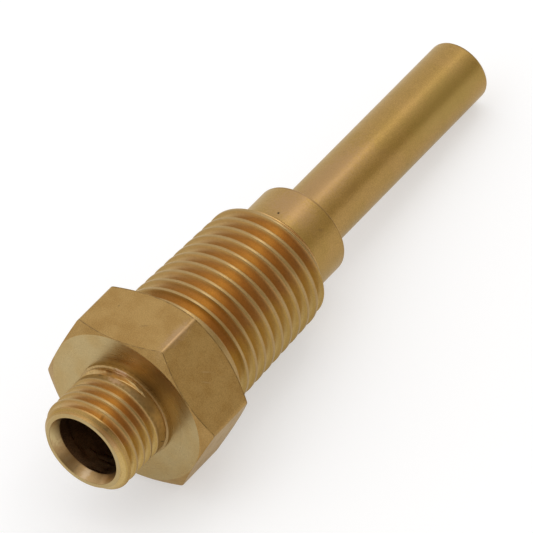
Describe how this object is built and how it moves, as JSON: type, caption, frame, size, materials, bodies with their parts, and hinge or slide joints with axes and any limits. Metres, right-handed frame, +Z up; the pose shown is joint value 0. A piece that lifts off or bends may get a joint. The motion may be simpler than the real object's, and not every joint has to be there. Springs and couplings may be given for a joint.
{
  "type": "thermowell",
  "caption": "Brass thermowell: hexagon head with a small threaded spigot for the sensor, a tapered pipe thread, a plain collar and a closed stem, drilled from the mouth.",
  "frame": {"origin": "on the floor under the middle of the lying well's length and width", "axes": "+Z up; +X from the mouth towards the closed tip, along the floor. The well lies as it comes to rest, on the back edge of its hexagon's lowest flat and on the rim of its tip, so its own axis dips 5.94 degrees towards the tip"},
  "size_m": [0.06, 0.0184, 0.0166],
  "materials": {
    "turned_brass": "satin, as turned"
  },
  "bodies": {
    "root": {"thermowell": "turned_brass"}
  },
  "joints": []
}
